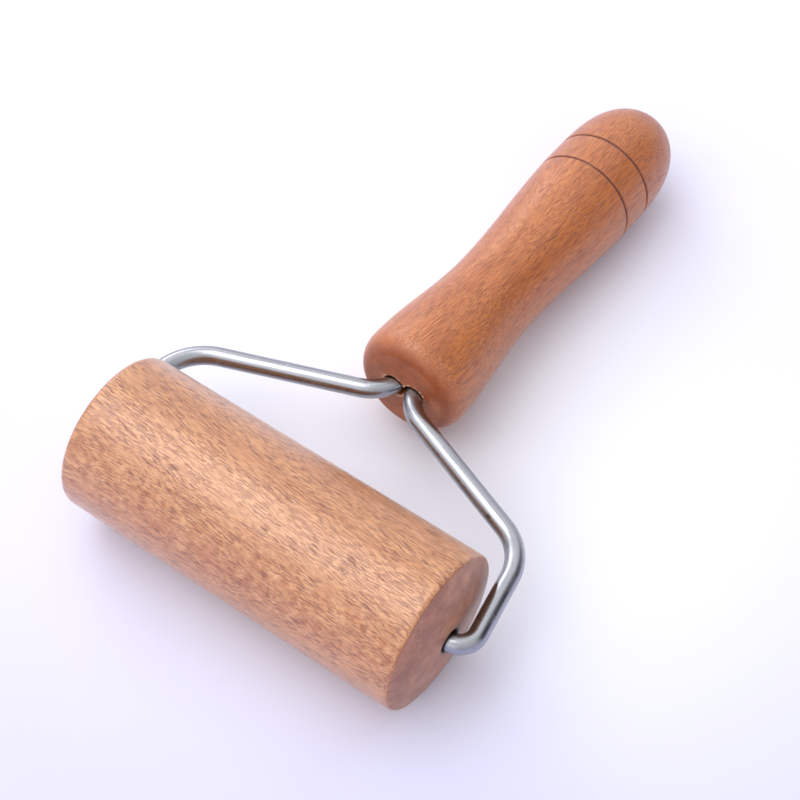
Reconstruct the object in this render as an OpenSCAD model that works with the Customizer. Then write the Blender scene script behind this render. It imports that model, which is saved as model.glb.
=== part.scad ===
// Small hand roller: a loose beech roller turning on one bent steel wire,
// whose two ends are bedded side by side in a turned beech handle.
// X is the roller's axis, Y runs from the roller to the butt of the handle, Z is up.
// The part lies at rest on the plane z = 0, on its roller and the swell of its handle.
// Millimetres.

/* [Roller] */
// Diameter of the roller
roller_d = 40; // [30:0.5:60]
// Length of the roller from rim to rim, without its domed ends
roller_len = 93.8; // [60:0.1:180]
// How far each domed end stands out past the rim
dome_h = 2.9; // [0.5:0.1:5]
// How far along the roller its two eased edges run
roller_edge_run = 1.4; // [0.5:0.1:5]
// How far the eased edges drop toward the axis
roller_edge_drop = 0.7; // [0.5:0.1:5]
// Diameter of the bore through the roller
bore_d = 6.1; // [5.5:0.1:10]
// Chamfer at each mouth of the bore
bore_chamfer = 0.3; // [0.1:0.1:1]

/* [Wire frame] */
// Diameter of the steel wire
wire_d = 4.8; // [3:0.1:6]
// Gap under the axle, where the wire lies low in the bore
axle_gap = 0.03; // [0.01:0.01:0.1]
// Half width of the frame where the legs meet the line of the axle
leg_x = 54.6; // [40:0.5:110]
// Half width of the frame at its shoulders
shoulder_x = 49.6; // [35:0.1:100]
// Distance from the axle to the shoulders
shoulder_y = 29.9; // [20:0.1:60]
// Half distance between the two wire ends inside the handle
tail_x = 2.5; // [2.5:0.1:6]
// Distance from the axle to the point where an arm would meet its wire end
tail_y = 48.5; // [40:0.1:90]
// Bend radius at the axle, on the wire's centre line
axle_bend_r = 4.6; // [4:0.1:8]
// Bend radius at the shoulders
shoulder_bend_r = 14.3; // [8:0.1:24]
// Bend radius at the handle
tail_bend_r = 10.2; // [6:0.1:16]

/* [Handle] */
// Distance from the axle to the front face of the handle
handle_start = 51.6; // [45:0.1:90]
// Length of the handle
handle_len = 116; // [90:1:150]
// Diameter at the front, behind the rounded edge
front_d = 29.6; // [24:0.1:36]
// Diameter of the flat front face
face_d = 22.4; // [14:0.1:34]
// How far along the handle its rounded front edge runs
front_edge_run = 5.8; // [1:0.1:8]
// Diameter of the waist
waist_d = 24.2; // [18:0.1:30]
// Distance from the front face to the waist
waist_at = 40; // [30:1:60]
// Diameter of the swell
swell_d = 28.9; // [22:0.1:36]
// Distance from the front face to the swell
swell_at = 86; // [70:1:100]
// Fullness of the butt, where 2 is an ellipse
butt_power = 3.35; // [2:0.05:5]
// Distance from the front face to the first groove
groove_at = 81; // [60:0.5:100]
// Distance between the two grooves
groove_step = 10.1; // [5:0.1:15]
// Width of a groove at the surface
groove_w = 0.8; // [0.4:0.1:2]
// Depth of a groove
groove_depth = 0.5; // [0.2:0.1:1.5]

/* [Sockets] */
// Diameter of each drilled socket in the front face
socket_d = 6; // [5:0.1:8]
// Half distance between the two sockets
socket_x = 2.9; // [2.5:0.1:6]
// Depth of the sockets
socket_depth = 34; // [20:1:50]
// Depth at which the glue begins
glue_from = 7; // [2:0.5:15]

/* [Hidden] */
$fn = 96;
roller_r = roller_d / 2;
wire_r = wire_d / 2;
// height of the wire's centre line in the bore
axle_z = roller_r - bore_d / 2 + wire_r + axle_gap;
// the handle touches the table a little past its swell, and slopes down to that point
touch_at = swell_at + 7.85;
touch_r = handle_r(touch_at) + 0.003;
droop = asin(axle_z / norm([handle_start + touch_at, touch_r]))
    - atan2(touch_r, handle_start + touch_at);
// middle of the whole part along Y
mid_y = ((handle_start + handle_len) * cos(droop) - roller_r) / 2;
// wire ends this far short of the socket's floor
tail_gap = 1.5;
// the wire is this much fatter in a bend, and each straight laps into the bend beside it
bend_swell = 0.02;
lap = 0.2;
// the front edge leaves the flat face at this point of its elliptical arc, in a faint crease
edge_start = 17;

leg_point = [leg_x, 0];
shoulder_point = [shoulder_x, shoulder_y];
tail_point = [tail_x, tail_y];
tail_end = [tail_x, handle_start + socket_depth - tail_gap];
wire_points = [[0, 0], leg_point, shoulder_point, tail_point, tail_end];
wire_bends = [0, axle_bend_r, shoulder_bend_r, tail_bend_r, 0];

// heading of the straight from point i to point i + 1
function heading(i) = atan2(wire_points[i + 1][1] - wire_points[i][1],
                            wire_points[i + 1][0] - wire_points[i][0]);
function run(i) = norm(wire_points[i + 1] - wire_points[i]);
// angle the wire turns through at point i, and the side it turns to: left 1, right -1
function turn(i) = heading(i) - heading(i - 1);
function side(i) = turn(i) < 0 ? -1 : 1;
// length of straight that a bend takes up on each side of its corner
function setback(i) = i == 0 || i == 4 ? 0 : wire_bends[i] * tan(abs(turn(i)) / 2);
function toward(i) = [cos(heading(i)), sin(heading(i))];
// centre of the bend at point i
function bend_centre(i) = wire_points[i] - setback(i) * toward(i - 1)
    + side(i) * wire_bends[i] * [-sin(heading(i - 1)), cos(heading(i - 1))];

// radius of the handle at distance s from its front face, behind the front edge
function handle_r(s) =
    s < waist_at
        ? waist_d / 2 + (front_d - waist_d) / 4
            * (1 + cos(180 * (s - front_edge_run) / (waist_at - front_edge_run)))
    : s < swell_at
        ? waist_d / 2 + (swell_d - waist_d) / 4
            * (1 - cos(180 * (s - waist_at) / (swell_at - waist_at)))
        : swell_d / 2 * sqrt(max(0, 1 - pow((s - swell_at) / (handle_len - swell_at), butt_power)));

// points of the handle's outline, from the centre of the front face to the tip of the butt
function front_arc() = [for (i = [0 : 8])
    let (a = edge_start + i * (90 - edge_start) / 8)
    [front_d / 2 - (front_d - face_d) / 2 * (1 - sin(a)) / (1 - sin(edge_start)),
     front_edge_run * (1 - cos(a) / cos(edge_start))]];
function side_line() = [for (i = [1 : 26])
    let (s = front_edge_run + i * (swell_at - front_edge_run) / 26)
    [handle_r(s), s]];
function butt_line() = [for (i = [1 : 17])
    let (s = swell_at + (handle_len - swell_at) * sin(i * 5))
    [handle_r(s), s]];
function handle_outline() = concat([[0, 0]], front_arc(), side_line(), butt_line(),
                                   [[0, handle_len]]);

// each end of the roller is a shallow spherical dome that starts at its rim
rim_r = roller_r - roller_edge_drop;
dome_r = (rim_r * rim_r + dome_h * dome_h) / (2 * dome_h);
roller_half = roller_len / 2 + dome_h;
function dome_z(r) = roller_half - dome_r + sqrt(dome_r * dome_r - r * r);

// points of the roller's outline, from the centre of one end to the centre of the other
function dome_arc(flip) = [for (i = [0 : 7])
    let (r = rim_r * (flip ? 7 - i : i) / 8)
    [r, flip ? -dome_z(r) : dome_z(r)]];
function edge_arc(flip) = [for (i = [0 : 8])
    let (a = (flip ? 8 - i : i) * 90 / 8,
         z = roller_len / 2 - roller_edge_run * (1 - cos(a)))
    [roller_r - roller_edge_drop * (1 - sin(a)), flip ? -z : z]];
function roller_outline() = concat(dome_arc(false), edge_arc(false),
                                   edge_arc(true), dome_arc(true));

// the plane of the frame: x across, y toward the butt, z normal to the frame
module in_frame_plane() {
    translate([0, -mid_y, axle_z])
        rotate([-droop, 0, 0])
            children();
}

// the handle's own axis stands up along z from its front face
module on_handle_axis() {
    in_frame_plane()
        translate([0, handle_start, 0])
            rotate([-90, 0, 0])
                children();
}

module straight(i) {
    from = setback(i);
    to = run(i) - setback(i + 1) - (i == 3 ? lap : 0);
    translate([wire_points[i][0], wire_points[i][1], 0])
        rotate([0, 0, heading(i)])
            rotate([0, 90, 0])
                translate([0, 0, from - lap])
                    cylinder(h = to - from + 2 * lap, r = wire_r);
}

module bend(i) {
    c = bend_centre(i);
    translate([c[0], c[1], 0])
        rotate([0, 0, side(i) > 0 ? heading(i - 1) - 90 : heading(i) + 90])
            rotate_extrude(angle = abs(turn(i)), $fn = 144)
                translate([wire_bends[i], 0])
                    circle(r = wire_r + bend_swell);
}

module half_wire() {
    for (i = [0 : 3])
        straight(i);
    for (i = [1 : 3])
        bend(i);
}

// both drilled sockets, between two depths below the front face
module sockets(from, to) {
    for (side = [-1, 1])
        translate([side * socket_x, 0, from])
            cylinder(h = to - from, d = socket_d);
}

module groove_ring(s) {
    rotate_extrude($fn = 180)
        polygon([[handle_r(s) - groove_depth, s],
                 [handle_r(s) + 1, s - groove_w / 2 - groove_w / 2 / groove_depth],
                 [handle_r(s) + 1, s + groove_w / 2 + groove_w / 2 / groove_depth]]);
}

module roller() {
    color("#c99a6b")
        translate([0, -mid_y, roller_r])
            rotate([0, 90, 0])
                difference() {
                    rotate_extrude($fn = 180)
                        polygon(roller_outline());
                    cylinder(h = 2 * roller_half + 2, d = bore_d, center = true);
                    for (end = [0, 1])
                        mirror([0, 0, end])
                            translate([0, 0, dome_z(bore_d / 2) - bore_chamfer])
                                cylinder(h = bore_chamfer + 1,
                                         d1 = bore_d,
                                         d2 = bore_d + 2 * bore_chamfer + 2);
                }
}

module wire_frame() {
    color("#b4b6bb")
        in_frame_plane() {
            half_wire();
            mirror([1, 0, 0])
                half_wire();
        }
}

module handle() {
    color("#b5703f")
        on_handle_axis()
            difference() {
                rotate_extrude($fn = 180)
                    polygon(handle_outline());
                sockets(-1, socket_depth);
                groove_ring(groove_at);
                groove_ring(groove_at + groove_step);
            }
}

module glue() {
    color("#d8cba6")
        on_handle_axis()
            difference() {
                sockets(glue_from, socket_depth);
                for (side = [-1, 1])
                    translate([side * tail_x, 0, glue_from - 1])
                        cylinder(h = socket_depth - tail_gap - glue_from + 1, r = wire_r);
            }
}

roller();
wire_frame();
handle();
glue();
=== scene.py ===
import math

import bmesh
import bpy
from mathutils import Matrix, Vector, noise


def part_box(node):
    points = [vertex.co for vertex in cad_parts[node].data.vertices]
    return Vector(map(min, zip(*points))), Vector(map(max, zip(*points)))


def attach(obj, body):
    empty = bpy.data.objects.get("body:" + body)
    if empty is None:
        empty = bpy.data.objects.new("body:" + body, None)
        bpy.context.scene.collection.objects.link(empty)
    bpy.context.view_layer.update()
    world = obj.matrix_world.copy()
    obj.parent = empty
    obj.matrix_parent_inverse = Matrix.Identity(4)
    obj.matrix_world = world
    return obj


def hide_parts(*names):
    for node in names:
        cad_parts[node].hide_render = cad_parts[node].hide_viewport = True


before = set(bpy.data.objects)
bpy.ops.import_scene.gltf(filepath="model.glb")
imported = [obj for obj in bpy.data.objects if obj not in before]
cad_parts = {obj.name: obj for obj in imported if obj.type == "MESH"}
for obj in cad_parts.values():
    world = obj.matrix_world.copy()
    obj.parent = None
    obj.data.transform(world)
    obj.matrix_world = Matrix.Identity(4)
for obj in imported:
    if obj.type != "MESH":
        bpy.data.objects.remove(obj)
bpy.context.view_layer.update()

MM = 0.001

# ---------------------------------------------------------------- sizes, in millimetres
roller_lo, roller_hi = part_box("roller")
ROLLER_R = (roller_hi.z - roller_lo.z) / 2 / MM
AXIS_Y = (roller_hi.y + roller_lo.y) / 2  # metres
# half length at the rim, and how far the domed end stands out past it
RIM, DOME_H = 46.9, 2.9
EDGE_RUN, EDGE_DROP = 1.4, 0.7
RIM_R = ROLLER_R - EDGE_DROP
DOME_R = (RIM_R ** 2 + DOME_H ** 2) / (2 * DOME_H)
BORE_R, CHAMFER = 3.05, 0.3
WIRE_R, AXLE_GAP = 2.4, 0.03
AXLE_Z = ROLLER_R - BORE_R + WIRE_R + AXLE_GAP

START, LENGTH = 51.6, 116.0
FRONT_R, FRONT_EDGE, FACE_R, EDGE_START = 14.8, 5.8, 11.2, 17.0
WAIST_R, WAIST_AT = 12.1, 40.0
SWELL_R, SWELL_AT = 14.45, 86.0
BUTT_POWER = 3.35
GROOVES = (81.0, 91.1)
GROOVE_W, GROOVE_DEPTH = 0.8, 0.5
SOCKET_R, SOCKET_X, SOCKET_DEPTH = 3.0, 2.9, 34.0

# corners of the wire's centre line, from the middle of the axle to one tail, and its bends
TAIL_GAP = 1.5
WIRE_CORNERS = ((0, 0), (54.6, 0), (49.6, 29.9), (2.5, 48.5),
                (2.5, START + SOCKET_DEPTH - TAIL_GAP))
BENDS = (0, 4.6, 14.3, 10.2, 0)

# the handle touches the table a little past its swell, and slopes down to that point
PAST_SWELL = 7.85
TOUCH_AT = SWELL_AT + PAST_SWELL
TOUCH_R = SWELL_R * math.sqrt(1 - (PAST_SWELL / (LENGTH - SWELL_AT)) ** BUTT_POWER) + 0.003
DROOP = (math.asin(AXLE_Z / math.hypot(START + TOUCH_AT, TOUCH_R))
         - math.atan2(TOUCH_R, START + TOUCH_AT))

# the plane of the frame: x across, y toward the butt, z normal to the frame
FRAME_PLANE = (
    Matrix.Translation((0, AXIS_Y, AXLE_Z * MM)) @ Matrix.Rotation(-DROOP, 4, "X")
)
# both wooden pieces are turned about their own z
ROLLER_AT = Matrix.Translation((0, AXIS_Y, ROLLER_R * MM)) @ Matrix(
    ((0, 0, 1, 0), (1, 0, 0, 0), (0, 1, 0, 0), (0, 0, 0, 1)))
HANDLE_AT = FRAME_PLANE @ Matrix.Translation((0, START * MM, 0)) @ Matrix(
    ((-1, 0, 0, 0), (0, 0, 1, 0), (0, 1, 0, 0), (0, 0, 0, 1)))


# ---------------------------------------------------------------- node helpers
class Nodes:
    """Small wrapper that builds a material's nodes from left to right."""

    def __init__(self, name):
        self.mat = bpy.data.materials.new(name)
        self.mat.use_nodes = True
        self.tree = self.mat.node_tree
        self.tree.nodes.clear()
        self.out = self.tree.nodes.new("ShaderNodeOutputMaterial")
        self.bsdf = self.tree.nodes.new("ShaderNodeBsdfPrincipled")
        self.link(self.bsdf.outputs["BSDF"], self.out.inputs["Surface"])

    def link(self, a, b):
        self.tree.links.new(a, b)

    def put(self, socket, value):
        if isinstance(value, bpy.types.NodeSocket):
            self.link(value, socket)
        elif value is not None:
            socket.default_value = value

    def math(self, op, a, b=None, c=None, clamp=False):
        n = self.tree.nodes.new("ShaderNodeMath")
        n.operation, n.use_clamp = op, clamp
        for s, v in zip(n.inputs, (a, b, c)):
            self.put(s, v)
        return n.outputs[0]

    def vec(self, op, a, b=None):
        n = self.tree.nodes.new("ShaderNodeVectorMath")
        n.operation = op
        self.put(n.inputs[0], a)
        self.put(n.inputs[1], b)
        return n.outputs[1] if op == "LENGTH" else n.outputs[0]

    def split(self, v):
        n = self.tree.nodes.new("ShaderNodeSeparateXYZ")
        self.put(n.inputs[0], v)
        return n.outputs

    def join(self, x, y, z):
        n = self.tree.nodes.new("ShaderNodeCombineXYZ")
        for s, v in zip(n.inputs, (x, y, z)):
            self.put(s, v)
        return n.outputs[0]

    def hypot(self, a, b):
        return self.math("SQRT", self.math("ADD", self.math("MULTIPLY", a, a),
                                           self.math("MULTIPLY", b, b)))

    def millimetres(self):
        """The piece's own coordinates, in millimetres."""
        return self.vec("MULTIPLY", self.coords("Object"), (1 / MM, 1 / MM, 1 / MM))

    def noise(self, v, scale=1.0, detail=2.0, rough=0.5, colour=False):
        n = self.tree.nodes.new("ShaderNodeTexNoise")
        self.put(n.inputs["Vector"], v)
        n.inputs["Scale"].default_value = scale
        n.inputs["Detail"].default_value = detail
        n.inputs["Roughness"].default_value = rough
        return n.outputs["Color" if colour else "Fac"]

    def drift(self, v, scale):
        """A smooth random vector round zero, to push coordinates about with."""
        return self.vec("SUBTRACT", self.noise(v, scale, 1.0, colour=True), (0.5, 0.5, 0.5))

    def cells(self, v):
        """Distance to the nearest cell's centre, and that cell's random colour."""
        n = self.tree.nodes.new("ShaderNodeTexVoronoi")
        self.put(n.inputs["Vector"], v)
        n.inputs["Scale"].default_value = 1.0
        return n.outputs["Distance"], n.outputs["Color"]

    def step(self, v, lo, hi, to_lo=0.0, to_hi=1.0):
        n = self.tree.nodes.new("ShaderNodeMapRange")
        n.interpolation_type = "SMOOTHSTEP"
        for s, x in zip(n.inputs[:5], (v, lo, hi, to_lo, to_hi)):
            self.put(s, x)
        return n.outputs[0]

    def mix(self, f, a, b, mode="MIX"):
        n = self.tree.nodes.new("ShaderNodeMix")
        n.data_type, n.blend_type = "RGBA", mode
        self.put(n.inputs[0], f)
        self.put(n.inputs[6], a)
        self.put(n.inputs[7], b)
        return n.outputs[2]

    def bump(self, height, strength, distance, normal=None):
        n = self.tree.nodes.new("ShaderNodeBump")
        n.inputs["Strength"].default_value = strength
        n.inputs["Distance"].default_value = distance
        self.put(n.inputs["Height"], height)
        self.put(n.inputs["Normal"], normal)
        return n.outputs[0]

    def coords(self, which):
        n = self.tree.nodes.new("ShaderNodeTexCoord")
        return n.outputs[which]


def rgb(r, g, b):
    """An sRGB colour in 0 to 255, as the linear values that a node takes."""
    lin = [c / 255 / 12.92 if c <= 10 else ((c / 255 + 0.055) / 1.055) ** 2.4
           for c in (r, g, b)]
    return (*lin, 1.0)


# width of a year ring, and where a ray's dash ends inside its cell
RING_WIDTH = 2.9
RAY_CUT = 0.36


def beech(name, light, dark, dash, end_tint, tilt, pith, fine_ray, bold_ray, bold_share,
          pore, mottling, shift, rough, marks_and_painted_shade, lacquer=1.0):
    """Solid beech, grain along the piece's own z. The rings, rays and pores are laid out
    round a pith outside the piece, so that side grain, figured grain and end grain agree.
    A ray is (width, length) and a pore (width, length, darkness, contrast of the fibre), in
    millimetres. The piece's own function (nodes, position, colour) adds blemishes on the handle
    and painted shade on the roller."""
    pore_width, pore_length, pore_dark, fibre_gain = pore
    k = Nodes(name)
    raw = k.millimetres()
    turn = k.tree.nodes.new("ShaderNodeVectorRotate")
    turn.rotation_type = "EULER_XYZ"
    turn.inputs["Rotation"].default_value = (math.radians(tilt[0]), math.radians(tilt[1]), 0)
    k.link(raw, turn.inputs["Vector"])
    p = k.vec("ADD", turn.outputs[0], shift)
    for grain, reach in (((0.03, 0.03, 0.014), 4.0), ((0.10, 0.10, 0.07), 0.5)):
        sway = k.drift(k.vec("MULTIPLY", p, grain), 1.0)
        p = k.vec("ADD", p, k.vec("MULTIPLY", sway, (reach, reach, 0.0)))
    x, y, z = k.split(p)
    cx = k.math("SUBTRACT", x, pith[0])
    cy = k.math("SUBTRACT", y, pith[1])
    rho = k.hypot(cx, cy)
    tang = k.math("MULTIPLY", k.math("ARCTAN2", cy, cx), math.hypot(*pith))
    v = k.join(tang, rho, z)

    nx, ny, nz = k.split(k.coords("Normal"))
    across = k.math("ADD", k.math("MULTIPLY", nx, cx), k.math("MULTIPLY", ny, cy))
    flat_sawn = k.math("ABSOLUTE", k.math("DIVIDE", across, rho))
    quartered = k.step(flat_sawn, 0.46, 0.14)
    end = k.step(k.math("ABSOLUTE", nz), 0.30, 0.85)

    def layer(t, r, a, **kw):
        return k.noise(k.vec("MULTIPLY", v, (1 / t, 1 / r, 1 / a)), **kw)

    def centred(value, gain):
        return k.math("MULTIPLY", k.math("SUBTRACT", value, 0.5), gain)

    broad = layer(16, 8, 80, detail=3.0, rough=0.55)
    blotch = layer(30, 22, 34, detail=1.0)
    ring_pos = k.math("ADD", k.math("DIVIDE", rho, RING_WIDTH), k.math("MULTIPLY", broad, 1.3))
    ring_pos = k.math("FRACT", ring_pos)
    late = k.math("MULTIPLY", k.step(ring_pos, 0.35, 0.97), k.step(ring_pos, 1.0, 0.985))
    fibre = layer(0.27, 0.27, 5.5, detail=2.0, rough=0.6)
    pores = layer(pore_width, pore_width, pore_length, detail=1.0, rough=0.5)
    crowding = k.step(layer(3.0, 3.0, 9.0, detail=1.0), 0.28, 0.60, 0.55, 1.0)
    pores = k.math("MULTIPLY", k.step(pores, 0.515, 0.555), crowding)
    mottle = layer(1.5, 3.4, 2.7, detail=2.0, rough=0.5)
    flecks = k.step(layer(1.1, 3.6, 1.7, detail=1.0), 0.53, 0.68)

    def rays(width, length, share, seed):
        """Rays seen end on: lens-shaped dashes of that width and length."""
        w = k.vec("MULTIPLY", v, (2 * RAY_CUT / width, 1 / 5, 2 * RAY_CUT / length))
        w = k.vec("ADD", w, (seed, seed * 1.7, seed * 0.6))
        wob = k.vec("MULTIPLY", k.drift(w, 1.6), (0.35, 0.5, 0.5))
        d, c = k.cells(k.vec("ADD", w, wob))
        cr, cg, cb = k.split(c)
        here = k.step(cr, 1 - share - 0.06, 1 - share + 0.06)
        size = k.math("MULTIPLY_ADD", cg, RAY_CUT * 0.9, RAY_CUT * 0.55)
        core = k.step(d, size, k.math("MULTIPLY", size, 0.5))
        depth = k.math("MULTIPLY_ADD", cb, 0.7, 0.3)
        return k.math("MULTIPLY", k.math("MULTIPLY", core, here), depth)

    fine = rays(*fine_ray, 0.62, 0.0)
    bold = rays(*bold_ray, bold_share, 7.3)
    dashes = k.math("MAXIMUM", k.math("MULTIPLY", fine, 0.95), bold)
    side_on = k.math("SUBTRACT", 1.0, k.math("MULTIPLY", quartered, 0.45))
    dashes = k.math("MULTIPLY", dashes, side_on)

    tone = k.math("ADD", k.math("MULTIPLY_ADD", broad, 0.75, 0.06), centred(fibre, fibre_gain))
    tone = k.math("ADD", tone, k.math("MULTIPLY", late, 0.20))
    tone = k.math("ADD", tone, centred(blotch, 0.28))
    figure = k.math("MULTIPLY_ADD", quartered, 0.8, 0.2)
    tone = k.math("ADD", tone, k.math("MULTIPLY", centred(mottle, mottling * 2.0), figure))
    flecked = k.math("MULTIPLY", k.math("MULTIPLY", flecks, quartered), mottling * 0.32)
    tone = k.math("ADD", tone, flecked, clamp=True)
    col = k.mix(tone, light, dark)
    col = k.mix(k.math("MULTIPLY", pores, pore_dark), col, dash)
    col = k.mix(k.math("MULTIPLY", dashes, 0.88), col, dash)

    speck = k.step(k.noise(raw, 2.6, 2.0, 0.6), 0.3, 0.7)
    smudge = k.step(k.noise(raw, 0.17, 2.0, 0.6), 0.36, 0.66)
    end_col = k.mix(1.0, k.mix(0.55, col, k.mix(broad, light, dark)), end_tint, "MULTIPLY")
    pale = k.step(k.noise(raw, 0.20, 3.0, 0.65), 0.42, 0.62)
    pale_col = k.mix(1.0, light, end_tint, "MULTIPLY")
    end_col = k.mix(k.math("MULTIPLY", pale, 0.55), end_col, pale_col)
    grime = k.math("MULTIPLY_ADD", speck, 0.38, k.math("MULTIPLY", smudge, 0.40))
    end_col = k.mix(grime, end_col, dash)
    # this adds the handle's blemishes and the painted shade in the roller's bore
    col = marks_and_painted_shade(k, raw, k.mix(end, col, end_col))

    height = k.math("MULTIPLY", fibre, 0.35)
    height = k.math("SUBTRACT", height, k.math("MULTIPLY", dashes, 0.6))
    height = k.math("SUBTRACT", height, k.math("MULTIPLY", pores, 0.4))
    dents = k.step(k.noise(raw, 0.22, 1.0), 0.62, 0.8)
    height = k.math("SUBTRACT", height, k.math("MULTIPLY", dents, 0.5))
    nrm = k.bump(height, 0.75, 0.00012)
    turning = k.noise(k.join(0.0, 0.0, k.split(raw)[2]), 2.1, 3.0, 0.7)
    nrm = k.bump(turning, 0.10, 0.00006, nrm)

    r = k.math("MULTIPLY_ADD", fibre, 0.10, rough - 0.05)
    r = k.math("ADD", r, k.math("MULTIPLY", dashes, 0.14))
    r = k.math("ADD", r, k.math("MULTIPLY", end, 0.04))
    b = k.bsdf.inputs
    k.link(col, b["Base Color"])
    k.link(r, b["Roughness"])
    k.link(nrm, b["Normal"])
    b["IOR"].default_value = 1.5
    k.link(k.math("MULTIPLY_ADD", end, -0.5 * lacquer, lacquer), b["Coat Weight"])
    b["Coat Roughness"].default_value = 0.28
    k.link(nrm, b["Coat Normal"])
    return k.mat


# a small brown stain on the right arm, in the plane of the frame
STAIN_AT = (37.9, 32.3, 1.3)


def steel(name):
    """Drawn round wire: fine streaks along its length, soft scuffs, a few dark nicks."""
    k = Nodes(name)
    along, turns, _ = k.split(k.coords("UV"))
    raw = k.millimetres()
    around = k.math("MULTIPLY", turns, 2 * math.pi)
    ring = k.join(k.math("MULTIPLY", k.math("COSINE", around), WIRE_R),
                  k.math("MULTIPLY", k.math("SINE", around), WIRE_R), along)
    streak = k.noise(k.vec("MULTIPLY", ring, (3.2, 3.2, 0.10)), 1.0, 4.0, 0.65)
    hair = k.noise(k.vec("MULTIPLY", ring, (9.0, 9.0, 0.35)), 1.0, 3.0, 0.7)
    scuff = k.step(k.noise(raw, 0.16, 4.0, 0.6), 0.48, 0.72)
    grain = k.noise(raw, 2.3, 3.0, 0.65)
    spots, tint = k.cells(k.vec("MULTIPLY", ring, (0.55, 0.55, 0.16)))
    keep, _, _ = k.split(tint)
    nick = k.math("MULTIPLY", k.step(spots, 0.16, 0.07), k.step(keep, 0.72, 0.8))
    col = k.mix(streak, (0.25, 0.26, 0.29, 1), (0.47, 0.48, 0.51, 1))
    col = k.mix(k.math("MULTIPLY", scuff, 0.35), col, (0.40, 0.40, 0.43, 1))
    col = k.mix(k.math("MULTIPLY", nick, 0.75), col, (0.10, 0.09, 0.09, 1))
    away = k.vec("MULTIPLY", k.vec("SUBTRACT", raw, STAIN_AT), (1.0, 1.0, 1.3))
    ragged = k.math("SUBTRACT", k.noise(raw, 1.6, 2.0), 0.5)
    away = k.math("ADD", k.vec("LENGTH", away), ragged)
    stain = k.step(away, 0.95, 0.55)
    col = k.mix(k.math("MULTIPLY", stain, 0.8), col, (0.09, 0.06, 0.045, 1))
    r = k.math("MULTIPLY_ADD", streak, 0.12, 0.18)
    r = k.math("ADD", r, k.math("MULTIPLY", scuff, 0.12))
    r = k.math("ADD", r, k.math("MULTIPLY", k.math("MAXIMUM", nick, stain), 0.3))
    h = k.math("ADD", k.math("MULTIPLY", streak, 0.5), k.math("MULTIPLY", hair, 0.35))
    h = k.math("ADD", h, k.math("MULTIPLY", grain, 0.30))
    h = k.math("SUBTRACT", h, k.math("MULTIPLY", nick, 0.6))
    b = k.bsdf.inputs
    k.link(col, b["Base Color"])
    k.link(r, b["Roughness"])
    k.link(k.bump(h, 0.30, 0.00006), b["Normal"])
    b["Metallic"].default_value = 1.0
    return k.mat


def resin(name):
    """Cured glue, a little cloudy and uneven."""
    k = Nodes(name)
    n = k.noise(k.millimetres(), 0.9, 4.0, 0.6)
    k.link(k.mix(n, rgb(196, 170, 120), rgb(150, 116, 72)), k.bsdf.inputs["Base Color"])
    k.link(k.math("MULTIPLY_ADD", n, 0.2, 0.3), k.bsdf.inputs["Roughness"])
    k.link(k.bump(n, 0.5, 0.0002), k.bsdf.inputs["Normal"])
    return k.mat


# ---------------------------------------------------------------- meshes
def make(name, bm, material, matrix, body, node):
    bmesh.ops.recalc_face_normals(bm, faces=bm.faces)
    mesh = bpy.data.meshes.new(name)
    bm.to_mesh(mesh)
    bm.free()
    for poly in mesh.polygons:
        poly.use_smooth = True
    obj = bpy.data.objects.new(name, mesh)
    bpy.context.scene.collection.objects.link(obj)
    mesh.materials.append(material)
    obj.matrix_world = matrix
    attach(obj, body)
    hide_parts(node)
    return obj


def lathe(points, segments, wobble=None, loop=False):
    """Turns (radius, height) points, in millimetres, into a closed surface about z."""
    bm = bmesh.new()
    rings = []
    for i, (r, h) in enumerate(points):
        if r < 1e-6:
            rings.append([bm.verts.new((0, 0, h * MM))])
            continue
        ring = []
        for s in range(segments):
            a = 2 * math.pi * s / segments
            rr = r + (wobble(r, h, a) if wobble else 0)
            ring.append(bm.verts.new((rr * math.cos(a) * MM, rr * math.sin(a) * MM, h * MM)))
        rings.append(ring)
    pairs = list(zip(rings, rings[1:]))
    if loop:
        pairs.append((rings[-1], rings[0]))
    for a, b in pairs:
        for s in range(segments):
            t = (s + 1) % segments
            if len(a) == 1:
                bm.faces.new((a[0], b[s], b[t]))
            elif len(b) == 1:
                bm.faces.new((a[s], b[0], a[t]))
            else:
                bm.faces.new((a[s], b[s], b[t], a[t]))
    return bm


def span(a, b, n):
    return [a + (b - a) * i / n for i in range(1, n)]


# roller: outline round one wall, from the mouth of the bore over the outside and back
def dome_z(r):
    return RIM + DOME_H - DOME_R + math.sqrt(DOME_R ** 2 - r * r)


def roller_outline():
    mouth = BORE_R + CHAMFER
    radii = (mouth, mouth + 0.15, mouth + 0.4, 4.4, 5.4, 6.8, 8.4, 10.0, 11.6, 13.2, 14.6,
             16.0, 17.2, 18.2)
    face = [(r, dome_z(r)) for r in radii]
    edge = []
    for i in range(15):
        a = math.pi / 2 * i / 14
        edge.append((ROLLER_R - EDGE_DROP * (1 - math.sin(a)),
                     RIM - EDGE_RUN * (1 - math.cos(a))))
    side = [(ROLLER_R, h) for h in span(RIM - EDGE_RUN, -RIM + EDGE_RUN, 60)]
    deep = dome_z(BORE_R) - CHAMFER
    bore = [(BORE_R, h) for h in span(-deep, deep, 24)]
    back = [(r, -h) for r, h in reversed(face + edge)]
    return face + edge + side + back + [(BORE_R, -deep)] + bore + [(BORE_R, deep)]


def roller_wobble(r, h, a):
    """How far the roller's surface lies off a true cylinder."""
    if r < 4:
        return 0.012 * noise.noise(Vector((math.cos(a) * 3, math.sin(a) * 3, h * 0.2)))
    flow = noise.noise(Vector((math.cos(a) * 1.5, math.sin(a) * 1.5, h * 0.03 + 4)))
    return -0.012 * (1 + flow)


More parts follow.
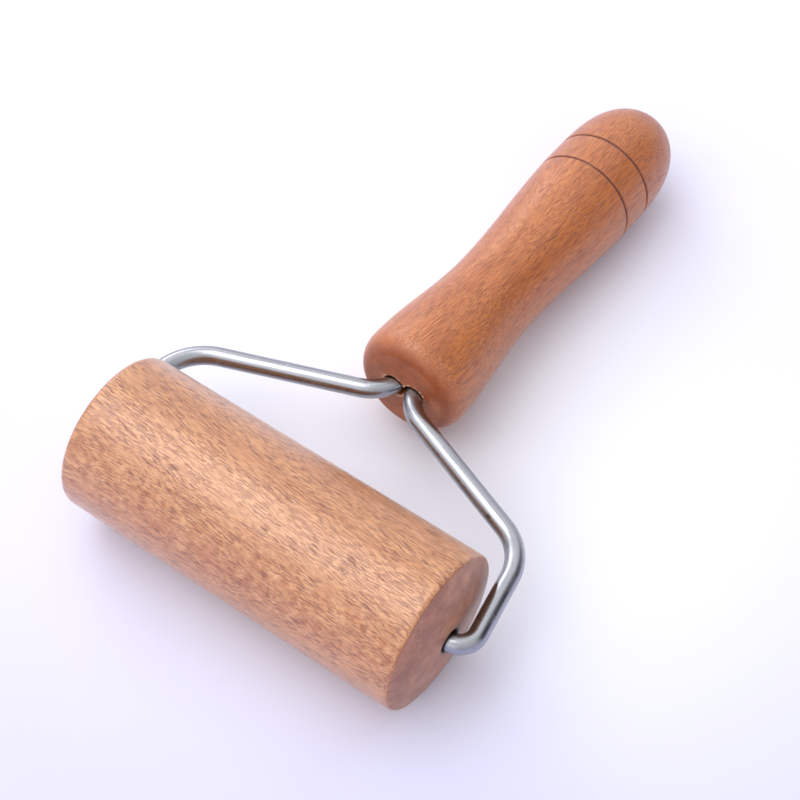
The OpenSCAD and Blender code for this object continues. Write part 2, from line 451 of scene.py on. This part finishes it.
# handle: outline from the centre of its front face to the tip of its butt
def handle_r(s):
    if s < WAIST_AT:
        t = math.pi * (s - FRONT_EDGE) / (WAIST_AT - FRONT_EDGE)
        return WAIST_R + (FRONT_R - WAIST_R) / 2 * (1 + math.cos(t))
    if s < SWELL_AT:
        t = math.pi * (s - WAIST_AT) / (SWELL_AT - WAIST_AT)
        return WAIST_R + (SWELL_R - WAIST_R) / 2 * (1 - math.cos(t))
    t = (s - SWELL_AT) / (LENGTH - SWELL_AT)
    return SWELL_R * math.sqrt(max(0.0, 1 - t ** BUTT_POWER))


# stations across each side of a groove, in groove widths from its middle
GROOVE_STATIONS = (0.12, 0.25, 0.38, 0.5, 0.62, 0.8, 1.1)


def handle_outline():
    pts = [(0, 0)] + [(r, 0) for r in (1.5, 3.5, 5.5, 7.2, 8.8, 10.2)]
    a0 = math.radians(EDGE_START)
    for i in range(25):
        a = a0 + (math.pi / 2 - a0) * i / 24
        pts.append((FRONT_R - (FRONT_R - FACE_R) * (1 - math.sin(a)) / (1 - math.sin(a0)),
                    FRONT_EDGE * (1 - math.cos(a) / math.cos(a0))))
    stations = span(FRONT_EDGE, SWELL_AT, 90)
    stations += [SWELL_AT + (LENGTH - SWELL_AT) * math.sin(math.pi / 2 * i / 44)
                 for i in range(44)]
    for g in GROOVES:
        stations = [s for s in stations if abs(s - g) > 1.2]
        stations += [g] + [g + way * d * GROOVE_W for d in GROOVE_STATIONS for way in (-1, 1)]
    for s in sorted(stations):
        r = handle_r(s)
        for g in GROOVES:
            d = abs(s - g) / (GROOVE_W / 2)
            if d < 1.25:
                r -= GROOVE_DEPTH * (0.5 + 0.5 * math.cos(math.pi * min(1, d / 1.25))) ** 0.8
        pts.append((r, s))
    return pts + [(0, LENGTH)]


def handle_wobble(r, h, a):
    """How far the handle's surface lies off a true turning."""
    n = noise.noise(Vector((math.cos(a) * 1.2, math.sin(a) * 1.2, h * 0.045 + 9)))
    return -0.02 * (1 + n) * min(1, r / 8)


def drill(side):
    """Cutter for one socket, its mouth a little torn where the drill broke the end grain."""
    pts = [(0, -3.0)]
    for h in (-3.0, -0.6, -0.25, 0.0, 0.25, 0.6, 1.2, 2.4, 5.0, 10.0, 20.0, SOCKET_DEPTH):
        pts.append((SOCKET_R + 0.10 * min(1, max(0, 1 - h / 1.2)), h))
    pts.append((0, SOCKET_DEPTH))

    def torn(r, h, a):
        if h > 1.5:
            return 0
        p = Vector((math.cos(a) * 2.2 + side * 5, math.sin(a) * 2.2, 0.3 * h))
        return 0.16 * noise.noise(p * 1.3) + 0.12 * noise.noise(p * 4.1)

    bm = lathe(pts, 72, torn)
    bmesh.ops.recalc_face_normals(bm, faces=bm.faces)
    mesh = bpy.data.meshes.new("drill")
    bm.to_mesh(mesh)
    bm.free()
    obj = bpy.data.objects.new("drill", mesh)
    bpy.context.scene.collection.objects.link(obj)
    obj.matrix_world = HANDLE_AT @ Matrix.Translation((side * SOCKET_X * MM, 0, 0))
    return obj


# ---------------------------------------------------------------- the wire's centre line
def headings(points):
    return [math.atan2(b[1] - a[1], b[0] - a[0]) for a, b in zip(points, points[1:])]


def wire_path():
    """(x, y, bend amount) along the whole wire, tail to tail."""
    h = headings(WIRE_CORNERS)
    cut = [0] + [BENDS[i] * math.tan(abs(h[i] - h[i - 1]) / 2) for i in (1, 2, 3)] + [0]
    line = []
    for i in range(4):
        d = Vector((math.cos(h[i]), math.sin(h[i])))
        a, b = Vector(WIRE_CORNERS[i]) + d * cut[i], Vector(WIRE_CORNERS[i + 1]) - d * cut[i + 1]
        n = max(2, int((b - a).length / 1.5))
        for j in range(n + 1):
            if i and j == 0:
                continue
            line.append((*(a + (b - a) * j / n), 0.0))
        if i < 3:
            turn = h[i + 1] - h[i]
            side = math.copysign(1, turn)
            bend = BENDS[i + 1]
            centre = b + side * bend * Vector((-math.sin(h[i]), math.cos(h[i])))
            m = max(10, int(abs(turn) * bend / 0.55))
            for j in range(1, m + 1):
                a2 = h[i] + turn * j / m - side * math.pi / 2
                amount = side * math.sin(math.pi * j / m)
                line.append((centre.x + bend * math.cos(a2), centre.y + bend * math.sin(a2),
                             amount))
    left = [(-x, y, bent) for x, y, bent in reversed(line)]
    return left[:-1] + line


def wire_mesh():
    """The wire as a tube along its path. Its UVs are the length so far and the turn."""
    path = wire_path()
    sides = 48
    bm = bmesh.new()
    uv = bm.loops.layers.uv.new("UVMap")
    rings, run = [], [0.0]
    for a, b in zip(path, path[1:]):
        run.append(run[-1] + math.hypot(b[0] - a[0], b[1] - a[1]))
    for i, (x, y, bent) in enumerate(path):
        a, b = path[max(0, i - 1)], path[min(len(path) - 1, i + 1)]
        d = Vector((b[0] - a[0], b[1] - a[1], 0)).normalized()
        side = Vector((-d.y, d.x, 0))
        ring = []
        for s in range(sides):
            t = 2 * math.pi * s / sides
            # a bend flattens the wire a little on its inside
            grow = WIRE_R * (1 - 0.012 * max(0, bent * math.cos(t))) + 0.012 * abs(bent)
            q = Vector((x, y, 0)) + side * grow * math.cos(t)
            q += Vector((0, 0, 1)) * grow * math.sin(t)
            ring.append(bm.verts.new(q * MM))
        rings.append(ring)
    for i in range(len(rings) - 1):
        for s in range(sides):
            t = (s + 1) % sides
            f = bm.faces.new((rings[i][s], rings[i][t], rings[i + 1][t], rings[i + 1][s]))
            for loop, (l, w) in zip(f.loops, ((i, s), (i, s + 1), (i + 1, s + 1), (i + 1, s))):
                loop[uv].uv = (run[l], w / sides)
    for ring in (rings[0], rings[-1]):
        bm.faces.new(ring)
    return bm


# ---------------------------------------------------------------- materials
def handle_marks(k, raw, col):
    """Two scorched grooves, a darker ring just outside the front face, and the torn pale
    fibres round the two sockets."""
    rx, ry, rz = k.split(raw)
    jag = k.math("MULTIPLY", k.math("SUBTRACT", k.noise(raw, 1.4, 2.0, 0.7), 0.5), 0.34)
    burnt = None
    for at in GROOVES:
        off = k.math("ABSOLUTE", k.math("ADD", k.math("SUBTRACT", rz, at), jag))
        near = k.step(off, 0.46, 0.20)
        burnt = near if burnt is None else k.math("MAXIMUM", burnt, near)
    scorch = k.math("MULTIPLY", burnt, k.step(k.noise(raw, 0.6, 3.0), 0.15, 0.60, 0.50, 0.90))
    col = k.mix(scorch, col, rgb(98, 38, 18))
    wander = k.math("MULTIPLY_ADD", k.noise(raw, 0.25, 2.0), 1.4, -0.7)
    radius = k.math("ADD", k.hypot(rx, ry), wander)
    # a darker reddish ring just outside the front face
    dark_front_ring = k.math("MULTIPLY", k.step(radius, 10.7, 11.5), k.step(radius, 13.9, 12.2))
    dark_front_ring = k.math("MULTIPLY", dark_front_ring, k.step(rz, 5.0, 2.0))
    col = k.mix(k.math("MULTIPLY", dark_front_ring, 0.55), col, rgb(138, 62, 26))
    torn = k.step(k.noise(raw, 0.9, 3.0, 0.7), 0.42, 0.58)
    reach = k.math("MULTIPLY_ADD", k.noise(raw, 1.7, 2.0, 0.7), 1.3, SOCKET_R - 0.10)
    aside = k.math("SUBTRACT", k.math("ABSOLUTE", rx), SOCKET_X)
    lip = k.step(k.math("SUBTRACT", k.hypot(aside, ry), reach), 0.10, -0.10)
    lip = k.math("MULTIPLY", k.math("MULTIPLY", lip, torn), k.step(rz, 0.5, 0.2))
    return k.mix(k.math("MULTIPLY", lip, 0.75), col, rgb(240, 204, 172))


def bore_painted_shade(k, raw, col):
    """Painted shade: the bore and its mouth are darkened to stand for the shadow inside the
    hole.
    """
    rx, ry, _ = k.split(raw)
    wander = k.math("MULTIPLY_ADD", k.noise(raw, 1.2, 2.0), 0.5, -0.25)
    radius = k.math("ADD", k.hypot(rx, ry), wander)
    # painted shade: dark brown inside the bore, fading out just past its mouth
    return k.mix(k.math("MULTIPLY", k.step(radius, 3.85, 3.35), 0.85), col, rgb(46, 22, 14))


# the roller's bore gets painted shade
roller_wood = beech(
    "beech_roller", rgb(222, 164, 114), rgb(186, 116, 66), rgb(116, 48, 16),
    rgb(238, 221, 221), tilt=(0.8, 4.0), pith=(-74.0, -82.0), fine_ray=(0.22, 2.8),
    bold_ray=(0.30, 3.4), bold_share=0.34, pore=(0.20, 2.6, 0.66, 0.75), mottling=0.85,
    shift=(0.0, 0.0, 31.0), rough=0.40, marks_and_painted_shade=bore_painted_shade)
handle_wood = beech(
    "beech_handle", rgb(207, 127, 65), rgb(170, 88, 34), rgb(126, 54, 18),
    rgb(250, 242, 255), tilt=(-1.5, 3.0), pith=(21.5, -50.6), fine_ray=(0.16, 3.4),
    bold_ray=(0.24, 3.2), bold_share=0.04, pore=(0.17, 4.2, 0.58, 1.3), mottling=0.3,
    shift=(0.0, 0.0, 0.0), rough=0.45, marks_and_painted_shade=handle_marks, lacquer=0.6)
wire_steel = steel("drawn_steel")
glue_resin = resin("cured_glue")

# ---------------------------------------------------------------- pieces
roller = make("roller_body", lathe(roller_outline(), 288, roller_wobble, loop=True),
              roller_wood, ROLLER_AT, "roller", "roller")

handle = make("handle_body", lathe(handle_outline(), 256, handle_wobble),
              handle_wood, HANDLE_AT, "frame", "handle")
for side in (-1, 1):
    cutter = drill(side)
    m = handle.modifiers.new("socket", "BOOLEAN")
    m.operation, m.solver, m.object = "DIFFERENCE", "EXACT", cutter
    bpy.context.view_layer.update()
    baked = bpy.data.meshes.new_from_object(
        handle.evaluated_get(bpy.context.evaluated_depsgraph_get()))
    handle.modifiers.clear()
    handle.data = baked
    bpy.data.objects.remove(cutter)

wire = make("wire_frame_body", wire_mesh(), wire_steel, FRAME_PLANE,
            "frame", "wire_frame")

SHARP = math.radians(38)
for obj in (roller, handle, wire):
    obj.data.set_sharp_from_angle(angle=SHARP)

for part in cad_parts.values():
    if part.name == "glue":
        part.data.materials.clear()
        part.data.materials.append(glue_resin)

# ---------------------------------------------------------------- floor, light, camera
FLOOR = 3.0  # half its width, in metres
floor_mesh = bpy.data.meshes.new("floor")
floor_mesh.from_pydata([(-FLOOR, -FLOOR, 0), (FLOOR, -FLOOR, 0), (FLOOR, FLOOR, 0),
                        (-FLOOR, FLOOR, 0)], [], [(0, 1, 2, 3)])
floor = bpy.data.objects.new("floor", floor_mesh)
bpy.context.scene.collection.objects.link(floor)
# a pale sheet with painted light: painted shade makes it darker towards its front, and a painted
# pool of light makes it paler in the middle
PALE, FRONT_PAINTED_SHADE, MIDDLE_PAINTED_LIGHT = (0.79, 0.786, 0.93, 1), (0.655, 0.65, 0.92, 1), (0.885, 0.90, 0.98, 1)
SPECKLE = (0.8, 0.8, 0.9, 1)
k = Nodes("white_table")
at = k.coords("Object")
paper = k.noise(at, 60.0, 3.0)
fx, fy, _ = k.split(at)
front_shade_coord = k.math("MULTIPLY_ADD", fx, 0.571, k.math("MULTIPLY", fy, -0.821))
# painted shade: the sheet turns darker and bluer towards the front, standing for light falling
# off
sheet = k.mix(k.step(front_shade_coord, -0.06, 0.17), PALE, FRONT_PAINTED_SHADE)
# painted light: a paler pool round the middle lifts the shadows near the pieces
middle_light_distance = k.vec("LENGTH", k.vec("SUBTRACT", at, (0.01, -0.02, 0.0)))
sheet = k.mix(k.step(middle_light_distance, 0.13, 0.03, 0.0, 0.9), sheet, MIDDLE_PAINTED_LIGHT)
sheet = k.mix(k.math("MULTIPLY", paper, 0.02), sheet, SPECKLE)
k.link(sheet, k.bsdf.inputs["Base Color"])
k.bsdf.inputs["Roughness"].default_value = 0.6
k.bsdf.inputs["Specular IOR Level"].default_value = 0.0
floor_mesh.materials.append(k.mat)

world = bpy.data.worlds.new("studio")
bpy.context.scene.world = world
world.use_nodes = True
wt = world.node_tree
wt.nodes.clear()
w_out = wt.nodes.new("ShaderNodeOutputWorld")
w_bg = wt.nodes.new("ShaderNodeBackground")
w_ramp = wt.nodes.new("ShaderNodeValToRGB")
w_sep = wt.nodes.new("ShaderNodeSeparateXYZ")
w_co = wt.nodes.new("ShaderNodeTexCoord")
wt.links.new(w_co.outputs["Generated"], w_sep.inputs[0])
wt.links.new(w_sep.outputs[2], w_ramp.inputs[0])
ramp = w_ramp.color_ramp
ramp.elements[0].position, ramp.elements[0].color = 0.0, (0.66, 0.66, 0.73, 1)
ramp.elements[1].position, ramp.elements[1].color = 1.0, (1.10, 1.10, 1.12, 1)
for pos, colour in ((0.30, (0.68, 0.68, 0.73, 1)), (0.65, (0.94, 0.94, 0.97, 1))):
    e = ramp.elements.new(pos)
    e.color = colour


def sky_patch(colour_in, direction, edge, core, factor):
    """Scales the studio's brightness round one direction."""
    d = wt.nodes.new("ShaderNodeVectorMath")
    d.operation = "DOT_PRODUCT"
    wt.links.new(w_co.outputs["Generated"], d.inputs[0])
    d.inputs[1].default_value = Vector(direction).normalized()
    m = wt.nodes.new("ShaderNodeMapRange")
    m.interpolation_type = "SMOOTHSTEP"
    wt.links.new(d.outputs["Value"], m.inputs[0])
    for s, x in zip(m.inputs[1:5], (edge, core, 1.0, factor)):
        s.default_value = x
    g = wt.nodes.new("ShaderNodeVectorMath")
    g.operation = "SCALE"
    wt.links.new(colour_in, g.inputs[0])
    wt.links.new(m.outputs[0], g.inputs["Scale"])
    return g.outputs[0]


# a dark corner for the steel to show, and two brighter sides
sky = sky_patch(w_ramp.outputs[0], (0.64, 0.64, 0.40), 0.82, 0.97, 0.14)
sky = sky_patch(sky, (-0.35, -0.88, 0.32), 0.55, 0.95, 1.85)
sky = sky_patch(sky, (-0.40, 0.75, 0.52), 0.50, 0.95, 1.35)
wt.links.new(sky, w_bg.inputs[0])
wt.links.new(w_bg.outputs[0], w_out.inputs[0])
w_bg.inputs["Strength"].default_value = 1.0


def softbox(name, direction, distance, size, energy, colour, aim):
    data = bpy.data.lights.new(name, "AREA")
    data.shape = "RECTANGLE"
    data.size, data.size_y = size
    data.energy, data.color = energy, colour
    lamp = bpy.data.objects.new(name, data)
    bpy.context.scene.collection.objects.link(lamp)
    d = Vector(direction).normalized()
    lamp.location = Vector(aim) + d * distance
    lamp.rotation_mode = "QUATERNION"
    lamp.rotation_quaternion = (-d).to_track_quat("-Z", "Y")
    return lamp


KEY_FROM, KEY_AIM = (-0.33, -0.20, 0.92), (-0.03, -0.02, 0.02)
softbox("key", KEY_FROM, 1.0, (0.75, 0.75), 1.8, (1.0, 0.985, 0.97), KEY_AIM)
# the lacquer's sheen: this box is seen only in reflections
sheen = softbox("sheen", KEY_FROM, 0.99, (0.72, 0.72), 3.1, (1.0, 0.985, 0.99), KEY_AIM)
sheen.visible_diffuse = False
softbox("left", (-0.86, 0.34, 0.50), 1.3, (0.9, 0.6), 4.5, (0.98, 0.985, 1.0), (0, 0, 0.02))

cam_data = bpy.data.cameras.new("camera")
cam = bpy.data.objects.new("camera", cam_data)
bpy.context.scene.collection.objects.link(cam)
bpy.context.scene.camera = cam
cam_data.sensor_width = 36
cam_data.lens = 85.8
cam_data.clip_start, cam_data.clip_end = 0.02, 50
stand = Vector((0.15915, AXIS_Y - 0.17901, 0.38916))
look = Vector((-0.00219, AXIS_Y + 0.05339, 0.01007))
roll = Matrix.Rotation(math.radians(1.263), 3, "Z").to_quaternion()
cam.location = stand
cam.rotation_mode = "QUATERNION"
cam.rotation_quaternion = (look - stand).to_track_quat("-Z", "Y") @ roll

bpy.context.scene.view_settings.view_transform = "Standard"
bpy.context.scene.view_settings.look = "None"

bpy.context.view_layer.update()
